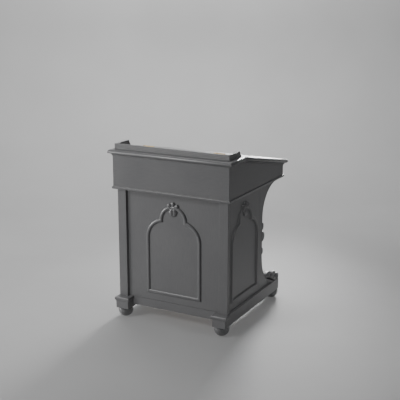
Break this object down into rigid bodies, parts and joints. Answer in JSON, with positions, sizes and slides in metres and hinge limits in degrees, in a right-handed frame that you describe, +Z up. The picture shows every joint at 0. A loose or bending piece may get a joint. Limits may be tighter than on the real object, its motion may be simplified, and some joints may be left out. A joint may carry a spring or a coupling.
{
  "type": "pulpit desk",
  "caption": "Wooden pulpit desk: arch-panelled pedestal on runners and ball feet, scroll brackets on the reader's side, writing box with sloping lift-up lid and low gallery.",
  "frame": {"origin": "on the floor under the middle of the desk", "axes": "+Z up, -Y towards the hall (the panelled rear face), +Y towards the reader, +X towards the reader's left hand"},
  "size_m": [0.636, 0.6335, 0.839],
  "materials": {
    "painted_wood": "satin grey paint over wood, worn at the edges",
    "turned_wood": "dark polished grey",
    "bare_wood": "bare planed wood",
    "brass_fittings": "aged brass"
  },
  "bodies": {
    "carcass": {"ball_foot_front_left": "turned_wood", "ball_foot_front_right": "turned_wood", "ball_foot_rear_left": "turned_wood", "ball_foot_rear_right": "turned_wood", "box_back": "painted_wood", "box_base_bead": "painted_wood", "box_bottom": "bare_wood", "box_front": "painted_wood", "box_side_left": "painted_wood", "box_side_right": "painted_wood", "bracket_carving_left": "painted_wood", "bracket_carving_right": "painted_wood", "bracket_left": "painted_wood", "bracket_right": "painted_wood", "cornice_cove": "painted_wood", "cupboard_floor": "bare_wood", "cupboard_shelf": "bare_wood", "door_hinge_fixed_leaves": "brass_fittings", "door_hinge_pins": "brass_fittings", "flat_top": "painted_wood", "front_stile_left": "painted_wood", "front_stile_right": "painted_wood", "gallery_back": "painted_wood", "gallery_return_left": "painted_wood", "gallery_return_right": "painted_wood", "knee_panel": "painted_wood", "lid_bead": "painted_wood", "lid_hinge_fixed_leaves": "brass_fittings", "lid_hinge_pins": "brass_fittings", "lid_lock": "brass_fittings", "nest_dividers": "bare_wood", "nest_shelf": "bare_wood", "rear_arch_carving": "painted_wood", "rear_arch_moulding": "painted_wood", "rear_bottom_rail": "painted_wood", "rear_panel": "painted_wood", "rear_pilaster_left": "painted_wood", "rear_pilaster_right": "painted_wood", "runner_cap_left": "painted_wood", "runner_cap_right": "painted_wood", "runner_left": "painted_wood", "runner_right": "painted_wood", "scroll_foot_left": "painted_wood", "scroll_foot_right": "painted_wood", "side_arch_carving": "painted_wood", "side_arch_moulding": "painted_wood", "side_panel": "painted_wood"},
    "lid": {"lid_panel": "painted_wood", "lid_hinge_moving_leaves": "brass_fittings"},
    "cupboard_door": {"door_panel": "painted_wood", "door_arch_moulding": "painted_wood", "door_arch_carving": "painted_wood", "door_knob": "brass_fittings", "door_hinge_moving_leaves": "brass_fittings"},
    "well_drawer_left": {"well_drawer_left": "bare_wood", "well_drawer_knob_left": "brass_fittings"},
    "well_drawer_right": {"well_drawer_right": "bare_wood", "well_drawer_knob_right": "brass_fittings"}
  },
  "joints": [
    {"name": "lid_hinge", "type": "hinge", "parent": "carcass", "child": "lid", "pos_m": [0, -0.1655, 0.814], "axis": [1, 0, 0], "range_deg": [0, 110]},
    {"name": "door_hinge", "type": "hinge", "parent": "carcass", "child": "cupboard_door", "pos_m": [-0.2831, -0.2448, 0.3625], "axis": [0, 0, 1], "range_deg": [0, 110]},
    {"name": "well_drawer_slide_left", "type": "slide", "parent": "carcass", "child": "well_drawer_left", "axis": [0, 1, 0], "range_m": [0, 0.09]},
    {"name": "well_drawer_slide_right", "type": "slide", "parent": "carcass", "child": "well_drawer_right", "axis": [0, 1, 0], "range_m": [0, 0.09]}
  ]
}
